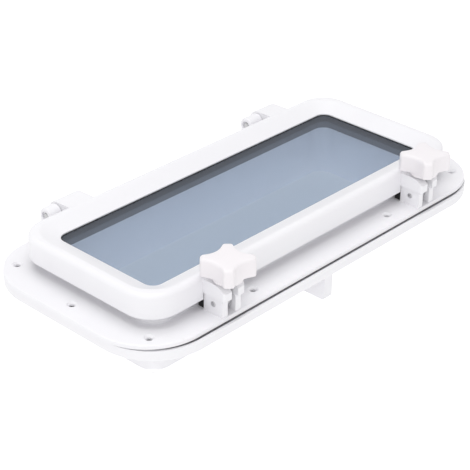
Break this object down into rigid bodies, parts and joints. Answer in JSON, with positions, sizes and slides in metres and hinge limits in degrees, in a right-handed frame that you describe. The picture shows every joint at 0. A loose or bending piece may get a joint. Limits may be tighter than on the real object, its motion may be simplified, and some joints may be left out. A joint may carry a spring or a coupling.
{
  "type": "opening porthole",
  "caption": "Rectangular opening boat porthole with rounded corners, a hinged glazed sash, star-knob swing-bolt latches and a clamping trim ring.",
  "frame": {"origin": "centre of the corner screw pattern, on the flange's mounting face", "axes": "+X along the long side, +Y towards the hinges, +Z into the cabin, away from the hull wall"},
  "size_m": [0.44, 0.2204, 0.0957],
  "materials": {
    "white_abs": "satin white ABS",
    "knob_white": "satin white nylon",
    "tinted_pane": "polished, lightly tinted",
    "black_rubber": "matt",
    "dark_plastic": "matt",
    "stainless": "brushed",
    "brass": "machined"
  },
  "bodies": {
    "frame": {"main_frame": "white_abs", "hinge_bracket_left": "white_abs", "hinge_bracket_right": "white_abs", "hinge_pin_left": "stainless", "hinge_pin_right": "stainless", "latch_bracket_left": "white_abs", "latch_bracket_right": "white_abs", "latch_pin_left": "stainless", "latch_pin_right": "stainless", "latch_pad_left": "black_rubber", "latch_pad_right": "black_rubber", "bracket_screws": "stainless"},
    "trim_ring": {"outer_trim_ring": "white_abs", "drain_spout": "white_abs"},
    "sash": {"sash_frame": "white_abs", "glass_pane": "tinted_pane", "glazing_gasket": "black_rubber", "glazing_retainer": "dark_plastic", "retainer_screws": "stainless", "compression_seal": "black_rubber", "hinge_bush_left": "dark_plastic", "hinge_bush_right": "dark_plastic"},
    "bolt_left": {"swing_bolt_left": "stainless"},
    "knob_carrier_left": {"knob_washer_left": "stainless"},
    "knob_left": {"knob_grip_left": "knob_white", "knob_insert_left": "brass"},
    "bolt_right": {"swing_bolt_right": "stainless"},
    "knob_carrier_right": {"knob_washer_right": "stainless"},
    "knob_right": {"knob_grip_right": "knob_white", "knob_insert_right": "brass"}
  },
  "joints": [
    {"name": "sash_hinge", "type": "hinge", "parent": "frame", "child": "sash", "pos_m": [0, 0.095, 0.0243], "axis": [-1, 0, 0], "range_deg": [0, 105]},
    {"name": "trim_ring_slide", "type": "slide", "parent": "frame", "child": "trim_ring", "axis": [0, 0, -1], "range_m": [0, 0.02]},
    {"name": "swing_left", "type": "hinge", "parent": "frame", "child": "bolt_left", "pos_m": [-0.126, -0.091, 0.0126], "axis": [1, 0, 0], "range_deg": [0, 60]},
    {"name": "knob_rise_left", "type": "slide", "parent": "bolt_left", "child": "knob_carrier_left", "axis": [0, 0, 1], "range_m": [0, 0.005]},
    {"name": "knob_spin_left", "type": "hinge", "parent": "knob_carrier_left", "child": "knob_left", "pos_m": [-0.126, -0.0968, 0.044], "axis": [0, 0, 1], "range_deg": [0, 1440]},
    {"name": "swing_right", "type": "hinge", "parent": "frame", "child": "bolt_right", "pos_m": [0.126, -0.091, 0.0126], "axis": [1, 0, 0], "range_deg": [0, 60]},
    {"name": "knob_rise_right", "type": "slide", "parent": "bolt_right", "child": "knob_carrier_right", "axis": [0, 0, 1], "range_m": [0, 0.005]},
    {"name": "knob_spin_right", "type": "hinge", "parent": "knob_carrier_right", "child": "knob_right", "pos_m": [0.126, -0.0968, 0.044], "axis": [0, 0, 1], "range_deg": [0, 1440]}
  ],
  "couplings": [
    {"joint": "knob_rise_left", "follows": "knob_spin_left", "m_per_rad": 0.00019894},
    {"joint": "knob_rise_right", "follows": "knob_spin_right", "m_per_rad": 0.00019894}
  ]
}
